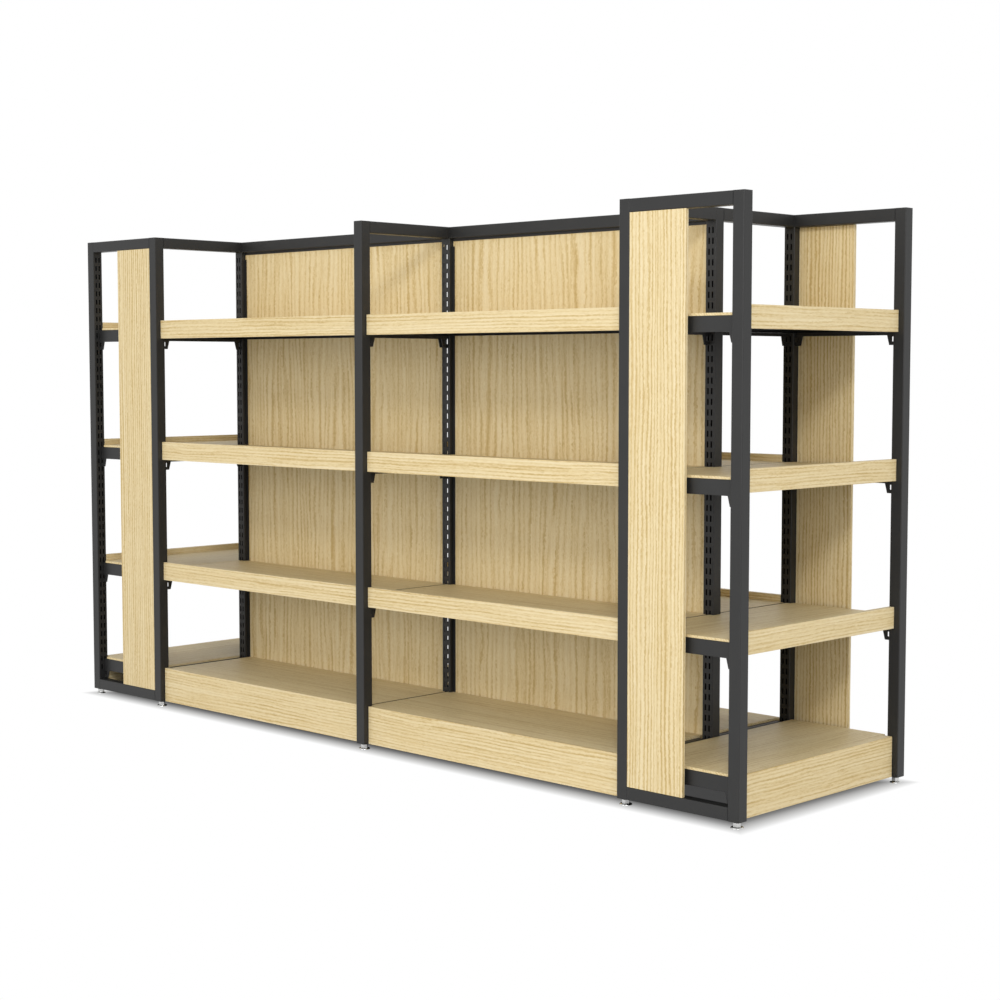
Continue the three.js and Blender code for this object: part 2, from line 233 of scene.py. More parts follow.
# What goes with the pitch of the lines
SPREAD_PER_PITCH = 0.16
STREAK_PER_PITCH = 2.15
SWEEP_SHARE = 1.05
WAVER_SHARE = 0.57

# What each scale adds to the tone
COMB_MEAN = 0.6
STREAK_WEIGHT = 0.28
THREAD_WEIGHT = 0.44
FLECK_WEIGHT = 0.46
DRIFT_WEIGHT = 0.40
TONE_SHIFT = 0.324
PORE_SHARE = 0.40
PORE_FADE = 0.22


def oak(name, grain, pitch, stretch, nibble, depth):
    """Oak with lines a pitch apart; sweep, waver and spread move them sideways along their way."""
    material, flow, shader = new_finish(name, Specular_IOR_Level=0.25)
    place = object_place(flow)
    axes = [flow.node("ShaderNodeSeparateXYZ", inputs={0: place}, output=i) for i in range(3)]
    along, across, through = (axes[i] for i in GRAIN_ORDER[grain])

    def drawn_out(scale, detail=1.0, sideways=0.0):
        along_scale, across_scale = scale
        parts = {
            0: along * along_scale,
            1: (across + sideways) * across_scale,
            2: (through + sideways) * across_scale,
        }
        return noise(flow, flow.node("ShaderNodeCombineXYZ", inputs=parts), 1.0, detail)

    def between(value, low, high):
        return colour_ramp(flow, value, (low, grey(0.0)), (high, grey(1.0)))

    sweep = (drawn_out(SWEEP_SCALE) - 0.5) * (SWEEP_SHARE * pitch)
    waver = (drawn_out(WAVER_SCALE) - 0.5) * (WAVER_SHARE * pitch) + sweep
    ragged = (drawn_out(NIBBLE_SCALE) - 0.5) * nibble + waver
    spread = (drawn_out((SPREAD_ALONG, SPREAD_PER_PITCH / pitch)) - 0.5) * stretch
    turns = (across + through + ragged + spread) * (2 * math.pi / pitch)
    comb = between(flow.math("SINE", turns) * 0.5 + 0.5, 0.0, 0.75)
    streak_scale = (STREAK_ALONG, STREAK_PER_PITCH / pitch)
    streaks = between(drawn_out(streak_scale, 2.0, ragged), 0.33, 0.58)
    threads = drawn_out(THREAD_SCALE, 2.0, ragged)
    flecks = drawn_out(FLECK_SCALE, 1.0, ragged)
    pores = between(drawn_out(PORE_SCALE, 1.0, ragged), 0.56, 0.70)
    drift = drawn_out(DRIFT_SCALE, 1.0, waver)

    tone = (comb - COMB_MEAN) * depth + streaks * STREAK_WEIGHT + threads * THREAD_WEIGHT
    tone = tone + flecks * FLECK_WEIGHT + drift * DRIFT_WEIGHT - TONE_SHIFT
    surface = colour_ramp(flow, tone, *TONE_STOPS)
    colour = blend(flow, pores * (PORE_SHARE - streaks * PORE_FADE), surface, OAK_PORE)
    relief = {"Strength": 0.25, "Distance": 0.2 * MM, "Height": threads * 0.4 - pores}
    feed(flow, shader, Base_Color=colour, Roughness=0.50 + pores * 0.12)
    feed(flow, shader, Normal=flow.node("ShaderNodeBump", inputs=relief))
    return material


# %% The cuts of oak
# A raw sawn edge, darkened further as painted shade for the gap between two boards
SAWN_OAK_SHADE = (0.13, 0.09, 0.05, 1.0)
BOARD_FIGURE = {"pitch": 8.5 * MM, "stretch": 22 * MM, "nibble": 2 * MM, "depth": 0.27}
SIDE_FIGURE = {"pitch": 10 * MM, "stretch": 26 * MM, "nibble": 4 * MM, "depth": 0.42}
BACK_FIGURE = {"pitch": 21 * MM, "stretch": 100 * MM, "nibble": 8 * MM, "depth": 0.27}

OAK_ALONG = oak("oak along the run", "X", **BOARD_FIGURE)
OAK_ACROSS = oak("oak across the run", "Y", **BOARD_FIGURE)
OAK_UPRIGHT = oak("oak upright", "Z", **SIDE_FIGURE)
OAK_BACK = oak("oak of the back", "Z", **BACK_FIGURE)
SHADED_RAW_END = new_finish("sawn end of a board", Base_Color=SAWN_OAK_SHADE, Roughness=0.8)[0]
OAK_CUTS = (OAK_ALONG, OAK_ACROSS, OAK_UPRIGHT, OAK_BACK)
print("oak finishes:", [cut.name for cut in OAK_CUTS])

# %% [markdown]
# ## Satin black steel and chrome
#
# The frame is powder coated in charcoal. A plain black would look like plastic, because such a
# coat isn't smooth: it has a fine ripple, like orange peel, which breaks up its gloss, and the
# gloss itself drifts a little. The inside of a tube is bare steel, painted near black as painted
# shade, so that the slots read dark. The glides under the posts are turned steel with a bright
# plating.

# %% Steel finishes
CHARCOAL = (0.018, 0.018, 0.018, 1.0)
CHARCOAL_WORN = (0.027, 0.027, 0.0264, 1.0)
PLATING_DULL = (0.54, 0.54, 0.53, 1.0)
PLATING_BRIGHT = (0.72, 0.72, 0.71, 1.0)
# Near black inside a tube: painted shade, darker than bare steel would be
BORE_SHADE_DARK = grey(0.003)
BORE_SHADE_PALE = grey(0.006)
PEEL_SCALE = 900.0
GLOSS_SCALE = 14.0
TURNING_SCALE = 300.0
BORE_SCALE = 60.0


def powder_coat():
    material, flow, shader = new_finish("satin black steel", Specular_IOR_Level=0.35)
    place = object_place(flow)
    peel = noise(flow, place, PEEL_SCALE, 2.0)
    drift = noise(flow, place, GLOSS_SCALE, 3.0)
    colour = blend(flow, drift, CHARCOAL, CHARCOAL_WORN)
    relief = {"Strength": 0.12, "Distance": 0.1 * MM, "Height": peel}
    bump = flow.node("ShaderNodeBump", inputs=relief)
    feed(flow, shader, Base_Color=colour, Roughness=0.36 + drift * 0.14, Normal=bump)
    return material


def bright_plating():
    material, flow, shader = new_finish("chrome", Metallic=1.0)
    turned = noise(flow, object_place(flow), TURNING_SCALE, 2.0)
    colour = colour_ramp(flow, turned, (0.3, PLATING_DULL), (0.7, PLATING_BRIGHT))
    feed(flow, shader, Base_Color=colour, Roughness=0.12 + turned * 0.14)
    return material


def painted_shade_bore():
    material, flow, shader = new_finish("bare inside of a tube", Specular_IOR_Level=0.1)
    scale = noise(flow, object_place(flow), BORE_SCALE, 2.0)
    colour = colour_ramp(flow, scale, (0.3, BORE_SHADE_DARK), (0.7, BORE_SHADE_PALE))
    feed(flow, shader, Base_Color=colour, Roughness=0.70 + scale * 0.20)
    return material


BLACK_STEEL = powder_coat()
PAINTED_SHADE_BORE = painted_shade_bore()
CHROME = bright_plating()
print("steel finishes:", [steel.name for steel in (BLACK_STEEL, PAINTED_SHADE_BORE, CHROME)])

# %% [markdown]
# ## Mesh helpers
#
# Nearly every piece is a profile pushed along a straight line: a tube, a board, a folded plate.
# `prism` does that in a bmesh. A sharp edge catches no light and gives a render away, so boards
# and plates are finished with a narrow Bevel, whose result is stored as a plain mesh.

# %% Mesh helpers
AXIS_ORDER = {"X": (2, 0, 1), "Y": (0, 2, 1), "Z": (0, 1, 2)}


def prism(bm, outline, axis, low, high, inside_out=False):
    """An outline in the plane across an axis, pushed along it from low to high."""
    order = AXIS_ORDER[axis]
    rings = []
    for height in (low, high):
        corners = [(u, v, height) for u, v in outline]
        rings.append([bm.verts.new([corner[i] for i in order]) for corner in corners])
    made = [bm.faces.new(ring) for ring in rings]
    count = len(outline)
    for i in range(count):
        j = (i + 1) % count
        made.append(bm.faces.new((rings[0][i], rings[0][j], rings[1][j], rings[1][i])))
    bmesh.ops.recalc_face_normals(bm, faces=made)
    if inside_out:
        bmesh.ops.reverse_faces(bm, faces=made)


def rectangle(u, v):
    return [(u[0], v[0]), (u[1], v[0]), (u[1], v[1]), (u[0], v[1])]


def slab(bm, x, y, z):
    prism(bm, rectangle(x, y), "Z", *z)


def rounded_square(centre, half, radius, steps=3):
    """A square with round corners, as the section of a drawn tube."""
    points = []
    for quarter in range(4):
        turn = math.pi / 2 * quarter
        corner_u = math.copysign(half - radius, math.cos(turn + math.pi / 4))
        corner_v = math.copysign(half - radius, math.sin(turn + math.pi / 4))
        for step in range(steps + 1):
            angle = turn + math.pi / 2 * step / steps
            u = centre[0] + corner_u + radius * math.cos(angle)
            v = centre[1] + corner_v + radius * math.sin(angle)
            points.append((u, v))
    return points


# %% From a mesh to a piece
def piece_from(bm, name, finish):
    mesh = bpy.data.meshes.new(name)
    bm.to_mesh(mesh)
    bm.free()
    mesh.materials.append(finish)
    piece = bpy.data.objects.new(name, mesh)
    bpy.context.scene.collection.objects.link(piece)
    return piece


def settle(piece):
    """Stores what the modifiers give as the piece's own mesh and removes them."""
    depsgraph = bpy.context.evaluated_depsgraph_get()
    mesh = bpy.data.meshes.new_from_object(piece.evaluated_get(depsgraph), depsgraph=depsgraph)
    mesh.name = piece.name
    piece.modifiers.clear()
    piece.data = mesh
    return piece


def ease_edges(piece, width, segments=2):
    bevel = piece.modifiers.new("eased edges", "BEVEL")
    bevel.width = width
    bevel.segments = segments
    bevel.limit_method = "ANGLE"
    bevel.use_clamp_overlap = True
    return settle(piece)


def belong(piece, body, slot, *nodes):
    """Hands a piece to the frame: what it moves with, what it stands for; slot is not used."""
    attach(piece, body)
    if nodes:
        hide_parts(*nodes)


# %% [markdown]
# ## Slots by Geometry Nodes
#
# Posts and uprights are punched with two columns of slots, so that a shelf can hang at any row.
# A picture of slots would stay flat, and cutting each by hand would be slow to change. A punch is
# a box that repeats, so a node tree makes it: two lines of points, a box on every point, and one
# boolean cut through the tube's wall. The sizes are the tree's own inputs, which a modifier sets
# by each socket's identifier.

# %% What every tree has


def new_tree(name, inputs):
    """A geometry tree with a Geometry input and output and the named inputs given."""
    tree = bpy.data.node_groups.new(name, "GeometryNodeTree")
    tree.interface.new_socket("Geometry", in_out="OUTPUT", socket_type="NodeSocketGeometry")
    for label, kind in (("Geometry", "Geometry"), *inputs):
        tree.interface.new_socket(label, in_out="INPUT", socket_type="NodeSocket" + kind)
    return Flow(tree), tree.nodes.new("NodeGroupInput"), tree.nodes.new("NodeGroupOutput")


def tree_input(flow, group_input, label):
    return Flow(flow.tree, group_input.outputs[label])


def finish_tree(flow, group_input, group_output, shape):
    """Every tree ends in real faces that have their finish."""
    real = flow.node("GeometryNodeRealizeInstances", inputs={0: shape})
    coat = {"Geometry": real, "Material": tree_input(flow, group_input, "Finish")}
    coated = flow.node("GeometryNodeSetMaterial", inputs=coat)
    flow.tree.links.new(coated.socket, group_output.inputs[0])
    return flow.tree


# %% The slot tree
def vector_math(flow, operation, first, second):
    return flow.node("ShaderNodeVectorMath", {"operation": operation}, {0: first, 1: second})


def slot_tree():
    inputs = (
        ("First slot", "Vector"),
        ("Column offset", "Vector"),
        ("Punch size", "Vector"),
        ("Pitch", "Float"),
        ("Rows", "Int"),
        ("Finish", "Material"),
    )
    flow, given, result = new_tree("slots in a tube", inputs)
    labels = [label for label, _ in inputs[:-1]]
    first, offset, size, pitch, rows = (tree_input(flow, given, label) for label in labels)
    step = flow.node("ShaderNodeCombineXYZ", inputs={2: pitch})
    join = flow.tree.nodes.new("GeometryNodeJoinGeometry")
    for operation in ("ADD", "SUBTRACT"):
        start = vector_math(flow, operation, first, offset)
        line_inputs = {"Count": rows, "Start Location": start, "Offset": step}
        line = flow.node("GeometryNodeMeshLine", {"mode": "OFFSET"}, line_inputs)
        flow.tree.links.new(line.socket, join.inputs[0])
    punch = flow.node("GeometryNodeMeshCube", inputs={"Size": size})
    placed = {"Points": Flow(flow.tree, join.outputs[0]), "Instance": punch}
    punches = flow.node("GeometryNodeInstanceOnPoints", inputs=placed)
    solid_punches = flow.node("GeometryNodeRealizeInstances", inputs={0: punches})
    cut_settings = {"operation": "DIFFERENCE", "solver": "EXACT"}
    cut_inputs = {"Mesh 1": tree_input(flow, given, "Geometry"), "Mesh 2": solid_punches}
    cut = flow.node("GeometryNodeMeshBoolean", cut_settings, cut_inputs)
    return finish_tree(flow, given, result, cut)


def run_tree(piece, tree, values):
    """Adds the tree as a modifier and sets its inputs by identifier, before it is evaluated."""
    modifier = piece.modifiers.new(tree.name, "NODES")
    modifier.node_group = tree
    for item in tree.interface.items_tree:
        if item.in_out == "INPUT" and item.name in values:
            modifier[item.identifier] = values[item.name]


SLOTS = slot_tree()
print("slot tree:", len(SLOTS.nodes), "nodes")

# %% [markdown]
# ## Tubes
#
# A post is a hollow tube with a closed top and a threaded plug for its glide. A solid bar would
# be quicker, but its slots would have a floor. So the tube is two shells, one inside the other,
# and light falls through the slots as it does on the real one. Which faces are punched depends on
# the post: always the one that an arm hooks into.

# %% Posts
WALL_PUNCH = 4 * TUBE_WALL
THROUGH_PUNCH = 1.5 * TUBE
BORE_LIMIT = TUBE_HALF - 0.7 * TUBE_WALL


def hollow_post(bm, x, y):
    prism(bm, rounded_square((x, y), TUBE_HALF, TUBE_ROUND), "Z", POST_FOOT, POST_TOP)
    bore = TUBE_HALF - TUBE_WALL
    inner = rectangle((x - bore, x + bore), (y - bore, y + bore))
    prism(bm, inner, "Z", POST_FOOT + PLUG_HEIGHT, POST_TOP - TUBE_WALL, inside_out=True)


def punch_face(piece, x, y, direction, depth):
    """Two columns of slots in the face of a post that looks along a level direction."""
    normal = Vector((direction[0], direction[1], 0))
    side = Vector((-normal.y, normal.x, 0))
    reach = TUBE_HALF if depth == WALL_PUNCH else 0.0
    first = Vector((x, y, FIRST_SLOT + SLOT_HEIGHT / 2)) + normal * reach
    level = [abs(n) * depth + abs(s) * SLOT_WIDTH for n, s in zip(normal.xy, side.xy)]
    values = {
        "First slot": first,
        "Column offset": side * SLOT_COLUMN,
        "Punch size": Vector((*level, SLOT_HEIGHT)),
        "Pitch": SLOT_PITCH,
        "Rows": SLOT_ROWS,
        "Finish": BLACK_STEEL,
    }
    run_tree(piece, SLOTS, values)


def paint_shade_in_bore(post, x, y):
    """Faces inside the tube get a near-black finish as painted shade, so that the slots read dark.
    """
    post.data.materials.append(PAINTED_SHADE_BORE)
    for face in post.data.polygons:
        if max(abs(face.center.x - x), abs(face.center.y - y)) < BORE_LIMIT:
            face.material_index = 1
    return post


def slotted_post(name, x, y, directions, through=()):
    bm = bmesh.new()
    hollow_post(bm, x, y)
    post = piece_from(bm, name, BLACK_STEEL)
    for direction in directions:
        punch_face(post, x, y, direction, WALL_PUNCH)
    for direction in through:
        punch_face(post, x, y, direction, THROUGH_PUNCH)
    return paint_shade_in_bore(settle(post), x, y)


# %% Frames of tube
BAR_FEET = (POST_FOOT, POST_TOP - TUBE)


def add_to(piece, build):
    """Adds more faces to a piece that already has its mesh."""
    bm = bmesh.new()
    bm.from_mesh(piece.data)
    build(bm)
    bm.to_mesh(piece.data)
    bm.free()
    return piece


def bars(bm, axis, across, low, high):
    """The top and bottom bar of a frame, butted against its tubes."""
    for foot in BAR_FEET:
        section = rounded_square((across, foot + TUBE_HALF), TUBE_HALF, TUBE_ROUND)
        prism(bm, section, axis, low, high)


def side_frame(face, place):
    x = FRAME_X[place]
    y = FACES[face] * HALF_DEPTH
    inward = (0, -FACES[face])
    name = f"side_frame_{face}_{place}"
    post = slotted_post(name + "_tube", x, y, (inward,))
    ends = sorted((FACES[face] * (HALF_DEPTH - TUBE_HALF), FACES[face] * TUBE_HALF))
    add_to(post, lambda bm: bars(bm, "Y", x, *ends))
    belong(post, "frame", "satin_black_steel", name)


def end_frame(face, place):
    x = ENDS[place] * RUN_END
    y = FACES[face] * HALF_DEPTH
    name = f"end_frame_{face}_{place}"
    post = slotted_post(name + "_tube", x, y, ((-ENDS[place], 0),))
    ends = sorted((ENDS[place] * (RUN_END - TUBE_HALF), ENDS[place] * (LAST_FRAME + TUBE_HALF)))
    add_to(post, lambda bm: bars(bm, "X", y, *ends))
    belong(post, "frame", "satin_black_steel", name)


for face in FACES:
    for place in FRAME_X:
        side_frame(face, place)
    for place in ENDS:
        end_frame(face, place)
print("frames of tube:", len(FACES) * (len(FRAME_X) + len(ENDS)))

# %% [markdown]
# ## Centre uprights
#
# The centre uprights are punched right through, from the front to the back, so that arms hook in
# from both sides, and the middle one has slots on its left side too. A folded channel on each bay
# side holds the edge of the back panel. It is two plain flanges, added to the punched mesh, since
# the boolean would only be slower with them.

# %% Centre uprights and rails
CHANNEL_DEPTH = 8 * MM
CHANNEL_DROP = 51 * MM
CHANNEL_CLEAR = 3 * MM
RAIL_CHANNEL = 7.5 * MM
CHANNEL_TOP = POST_TOP - CHANNEL_DROP
CHANNEL_FOOT = POST_FOOT + TUBE + RAIL_CHANNEL + CHANNEL_CLEAR
GROOVE_HALF = CHANNEL_HALF - CHANNEL_WALL
BAY_SIDES = {"left": (1,), "middle": (-1, 1), "right": (-1,)}


def panel_channel(bm, x, side):
    root, lip = x + side * TUBE_HALF, x + side * (TUBE_HALF + CHANNEL_DEPTH)
    span = sorted((root, lip))
    for edge in (-1, 1):
        flange = sorted((edge * GROOVE_HALF, edge * CHANNEL_HALF))
        slab(bm, span, flange, (CHANNEL_FOOT, CHANNEL_TOP))


def centre_upright(place):
    x = FRAME_X[place]
    name = f"centre_upright_{place}"
    bay_face = ((-1, 0),) if place == "middle" else ()
    upright = slotted_post(name + "_tube", x, 0.0, bay_face, through=((0, 1),))
    for side in BAY_SIDES[place]:
        add_to(upright, lambda bm: panel_channel(bm, x, side))
    belong(upright, "frame", "satin_black_steel", name)


def rail(name, channel_side):
    low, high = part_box(name)
    span = (low.x, high.x)
    foot = low.z if channel_side > 0 else high.z - TUBE
    face = foot + (TUBE if channel_side > 0 else 0.0)
    lips = sorted((face, face + channel_side * RAIL_CHANNEL))
    bm = bmesh.new()
    prism(bm, rounded_square((0.0, foot + TUBE_HALF), TUBE_HALF, TUBE_ROUND), "X", *span)
    for edge in (-1, 1):
        flange = sorted((edge * GROOVE_HALF, edge * CHANNEL_HALF))
        slab(bm, span, flange, lips)
    belong(piece_from(bm, name + "_tube", BLACK_STEEL), "frame", "satin_black_steel", name)


for place in FRAME_X:
    centre_upright(place)
for place in ENDS:
    rail(f"top_rail_{place}", -1)
    rail(f"bottom_rail_{place}", 1)
print("centre uprights:", len(FRAME_X), "with", SLOT_ROWS, "rows of slots")

# %% [markdown]
# ## Panels
#
# The back panels slide into the channels, and a narrow panel closes the inner half of each side
# of the end units. They are plain sheets. The frame's solids would do for their shape but not for
# their edges, so each is drawn again as a slab with an eased arris.

# %% Panels
PANEL_EASE = 0.6 * MM


def panel(name, oak_finish):
    low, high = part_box(name)
    bm = bmesh.new()
    slab(bm, (low.x, high.x), (low.y, high.y), (low.z, high.z))
    sheet = ease_edges(piece_from(bm, name + "_oak", oak_finish), PANEL_EASE)
    belong(sheet, "frame", "oak_panel", name)


for place in ENDS:
    panel(f"back_panel_{place}", OAK_BACK)
    for face in FACES:
        panel(f"side_panel_{face}_{place}", OAK_UPRIGHT)
print("panels:", len(ENDS) * (1 + len(FACES)))

# %% [markdown]
# ## Shelf arms
#
# An arm is a plate on edge. At each end a tab drops below it, with a window beside the tube where
# the hook is bent in, and a tooth enters the slot. All arms of one kind are alike, so the tree
# puts one drawn arm on every point of a small mesh of places.

# %% Arms
HOOK_DROP = 23 * MM
HOOK_TOP_WIDTH = 22 * MM
HOOK_FOOT_WIDTH = 16 * MM
WINDOW_DROP = 3 * MM
WINDOW_WIDTH = 8.5 * MM
WINDOW_HEIGHT = 11.5 * MM
TOOTH_REACH = 4 * MM
TOOTH_CLEARANCE = 1 * MM
SHELF_SLOT_RISE = 11.5 * MM
DECK_SLOT_RISE = 4 * MM
ARM_EASE = 0.4 * MM


def arm_half_outline(half, slot_rise):
    """One half of an arm, from the middle of its lower edge round its hook to its upper edge."""
    window_foot = -WINDOW_DROP - WINDOW_HEIGHT
    tooth_foot = slot_rise + TOOTH_CLEARANCE
    tooth_top = slot_rise + SLOT_HEIGHT - TOOTH_CLEARANCE
    return [
        (half - HOOK_TOP_WIDTH, 0.0),
        (half - HOOK_FOOT_WIDTH, -HOOK_DROP),
        (half, -HOOK_DROP),
        (half, window_foot),
        (half - WINDOW_WIDTH, window_foot),
        (half - WINDOW_WIDTH, -WINDOW_DROP),
        (half, -WINDOW_DROP),
        (half, tooth_foot),
        (half + TOOTH_REACH, tooth_foot),
        (half + TOOTH_REACH, tooth_top),
        (half, tooth_top),
        (half, ARM_HEIGHT),
    ]


def arm_pattern(name, length, slot_rise):
    right = arm_half_outline(length / 2, slot_rise)
    left = [(-u, v) for u, v in reversed(right)]
    bm = bmesh.new()
    prism(bm, right + left, "Y", -ARM_THICKNESS / 2, ARM_THICKNESS / 2)
    return ease_edges(piece_from(bm, name, BLACK_STEEL), ARM_EASE, segments=1)


# %% The arm tree
def arm_tree():
    inputs = (("Arm", "Object"), ("Turn", "Float"), ("Finish", "Material"))
    flow, given, result = new_tree("arms on their places", inputs)
    drawn = {"Object": tree_input(flow, given, "Arm")}
    arm = flow.node("GeometryNodeObjectInfo", inputs=drawn, output="Geometry")
    turn = flow.node("ShaderNodeCombineXYZ", inputs={2: tree_input(flow, given, "Turn")})
    placed = {"Points": tree_input(flow, given, "Geometry"), "Instance": arm, "Rotation": turn}
    arms = flow.node("GeometryNodeInstanceOnPoints", inputs=placed)
    return finish_tree(flow, given, result, arms)


ARMS = arm_tree()


def hang_arms(name, pattern, places, turn):
    mesh = bpy.data.meshes.new(name)
    mesh.from_pydata(places, [], [])
    arms = bpy.data.objects.new(name, mesh)
    bpy.context.scene.collection.objects.link(arms)
    run_tree(arms, ARMS, {"Arm": pattern, "Turn": turn, "Finish": BLACK_STEEL})
    settle(arms)
    bpy.data.objects.remove(pattern)
    belong(arms, "frame", "satin_black_steel")
    print(name, len(places), "arms,", len(arms.data.polygons), "faces")


# %% Places of the arms
def board_top(node):
    """The height of a board's upper face: a shelf's fascia stands above it, a deck's doesn't."""
    lip = LIP_HEIGHT if "shelf" in node else 0.0
    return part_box(node)[1].z - lip


def arm_foot(node):
    return board_top(node) - BOARD_THICKNESS - SEAT_GAP - ARM_HEIGHT


SHELF_LEVELS = [arm_foot(f"shelf_front_right_{level}") for level in ("lower", "middle", "upper")]
DECK_LEVELS = [arm_foot("deck_front_right")]
MAIN_ARM = HALF_DEPTH - TUBE
END_ARM = END_PITCH - TUBE


def main_arm_places(levels):
    places = []
    for place, x in FRAME_X.items():
        for side in BAY_SIDES[place]:
            for face in FACES.values():
                places += [(x + side * SLOT_COLUMN, face * HALF_DEPTH / 2, z) for z in levels]
    return places


def end_arm_places(levels):
    middle = LAST_FRAME + END_PITCH / 2
    row = HALF_DEPTH - SLOT_COLUMN
    corners = [(end * middle, face * row) for end in ENDS.values() for face in FACES.values()]
    return [(x, y, z) for x, y in corners for z in levels]


QUARTER = math.pi / 2
ARM_KINDS = (("shelf", SHELF_LEVELS, SHELF_SLOT_RISE), ("deck", DECK_LEVELS, DECK_SLOT_RISE))
for kind, levels, rise in ARM_KINDS:
    main = arm_pattern(f"{kind}_arm", MAIN_ARM, rise)
    hang_arms(f"{kind}_arms", main, main_arm_places(levels), QUARTER)
    short = arm_pattern(f"end_{kind}_arm", END_ARM, rise)
    hang_arms(f"end_{kind}_arms", short, end_arm_places(levels), 0.0)

# %% [markdown]
# ## Shelves and decks
#
# A shelf is an oak board on a shallow steel tray, with a fascia along its front edge that stands
# above it as a lip. The board is notched round posts and uprights. A deck is the same at the foot
# of the run, with a taller kick fascia that ends flush with the board. The fascia's ends are
# closed with a narrow strip, which shows as a fine line. Every board is drawn as one of the front
# or of the right end and then turned to its place, so that both sides follow the same sizes. The
# tray is a skin of faces that Solidify gives its wall.

# %% Sizes of shelves and decks
BOARD_EASE = 0.8 * MM
STRIP_WIDTH = 7 * MM
STRIP_GAP = 0.5 * MM
END_STRIP_GAP = 12 * MM
DECK_OUTER_EDGE = 25 * MM
TRAY_DEPTH = 28 * MM
TRAY_WALL = 1.2 * MM
TRAY_RETURN = 12 * MM
TRAY_CLEAR = 3 * MM
TRAY_SIDE = SLOT_COLUMN + ARM_THICKNESS / 2 + TRAY_CLEAR


def strips(low, high):
    """A fascia's length as its middle and the two strips that close its ends."""
    inner = (low + STRIP_WIDTH + STRIP_GAP, high - STRIP_WIDTH - STRIP_GAP)
    return [(low, low + STRIP_WIDTH), inner, (high - STRIP_WIDTH, high)]


# %% Outlines of the boards
def main_board_end(half_bay, edge):
    """The outline at one end of a main board: notched round the posts, or cut short of them."""
    end = half_bay - edge
    clear = half_bay - POST_CLEAR
    front = -HALF_DEPTH + FASCIA_THICKNESS
    behind_post = -HALF_DEPTH + POST_CLEAR
    back = -CHANNEL_HALF - BOARD_CLEARANCE
    if edge > POST_CLEAR:
        return [(end, front), (end, back)]
    notch = [(clear, behind_post), (end, behind_post), (end, -POST_CLEAR), (clear, -POST_CLEAR)]
    return [(clear, front), *notch, (clear, back)]


def main_board_outline(half_bay, left_edge, right_edge):
    left = [(-u, v) for u, v in main_board_end(half_bay, left_edge)]
    return main_board_end(half_bay, right_edge) + left[::-1]


def end_board_outline(inner_edge):
    side = HALF_DEPTH - BOARD_EDGE
    clear_y = HALF_DEPTH - POST_CLEAR
    strip_end = END_PITCH - POST_CLEAR - END_STRIP_GAP
    half = [
        (END_PITCH - FASCIA_THICKNESS, clear_y),
        (strip_end, clear_y),
        (strip_end, side),
        (POST_CLEAR, side),
        (POST_CLEAR, clear_y),
    ]
    if inner_edge < POST_CLEAR:
        half += [(inner_edge, clear_y), (inner_edge, POST_CLEAR), (POST_CLEAR, POST_CLEAR)]
    return half + [(u, -v) for u, v in reversed(half)]


# %% Trays
def fold_tray(name, x, y, top):
    """A pan of thin steel under the board: plate, rim and a return along the rim's lower edge."""
    foot = top - TRAY_DEPTH
    inner_x = (x[0] + TRAY_RETURN, x[1] - TRAY_RETURN)
    inner_y = (y[0] + TRAY_RETURN, y[1] - TRAY_RETURN)
    rings = [(rectangle(x, y), top), (rectangle(x, y), foot), (rectangle(inner_x, inner_y), foot)]
    bm = bmesh.new()
    loops = [[bm.verts.new((u, v, z)) for u, v in outline] for outline, z in rings]
    bm.faces.new(loops[0])
    for upper, lower in zip(loops, loops[1:]):
        for i in range(4):
            j = (i + 1) % 4
            bm.faces.new((upper[i], lower[i], lower[j], upper[j]))
    bmesh.ops.recalc_face_normals(bm, faces=bm.faces)
    tray = piece_from(bm, name, BLACK_STEEL)
    wall = tray.modifiers.new("sheet", "SOLIDIFY")
    wall.thickness = TRAY_WALL
    wall.offset = -1.0
    return settle(tray)


# %% Boards in their places
def put(piece, x, turn):
    piece.data.transform(Matrix.Translation((x, 0, 0)) @ Matrix.Rotation(turn, 4, "Z"))
    piece.data.update()


def fascia_heights(node):
    low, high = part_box(node)
    return low.z, high.z


def finish_shelf(node, oak_piece, tray, x, turn):
    put(oak_piece, x, turn)
    put(tray, x, turn)
    belong(oak_piece, node, "oak_board", node)
    belong(tray, node, "satin_black_steel")


def paint_shade_on_raw_ends(board, clear):
    """Ends close to the next board are sawn, with no facing, and darkened as painted shade."""
    board.data.materials.append(SHADED_RAW_END)
    for face in board.data.polygons:
        if abs(face.normal.x) > 0.5 and abs(face.center.x) > clear:
            face.material_index = 1
    return board


def main_shelf(node):
    low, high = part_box(node)
    half_bay = (high.x - low.x) / 2 + BOARD_EDGE
    clear = half_bay - POST_CLEAR
    top = board_top(node)
    bm = bmesh.new()
    turned = low.y > -HALF_DEPTH / 2
    edges = [BOARD_EDGE, BOARD_EDGE]
    if node.startswith("deck_"):
        outer_is_right = turned == (low.x < -BOARD_EDGE)
        edges[1 if outer_is_right else 0] = DECK_OUTER_EDGE
    prism(bm, main_board_outline(half_bay, *edges), "Z", top - BOARD_THICKNESS, top)
    for span in strips(-clear, clear):
        slab(bm, span, (-HALF_DEPTH, -HALF_DEPTH + FASCIA_THICKNESS), fascia_heights(node))
    wood = ease_edges(piece_from(bm, node + "_oak", OAK_ALONG), BOARD_EASE)
    paint_shade_on_raw_ends(wood, half_bay - 2 * BOARD_EDGE)
    tray_x = half_bay - TRAY_SIDE
    tray_y = (-HALF_DEPTH + POST_CLEAR, -POST_CLEAR)
    tray = fold_tray(node + "_tray", (-tray_x, tray_x), tray_y, top - BOARD_THICKNESS)
    finish_shelf(node, wood, tray, (low.x + high.x) / 2, math.pi if turned else 0.0)


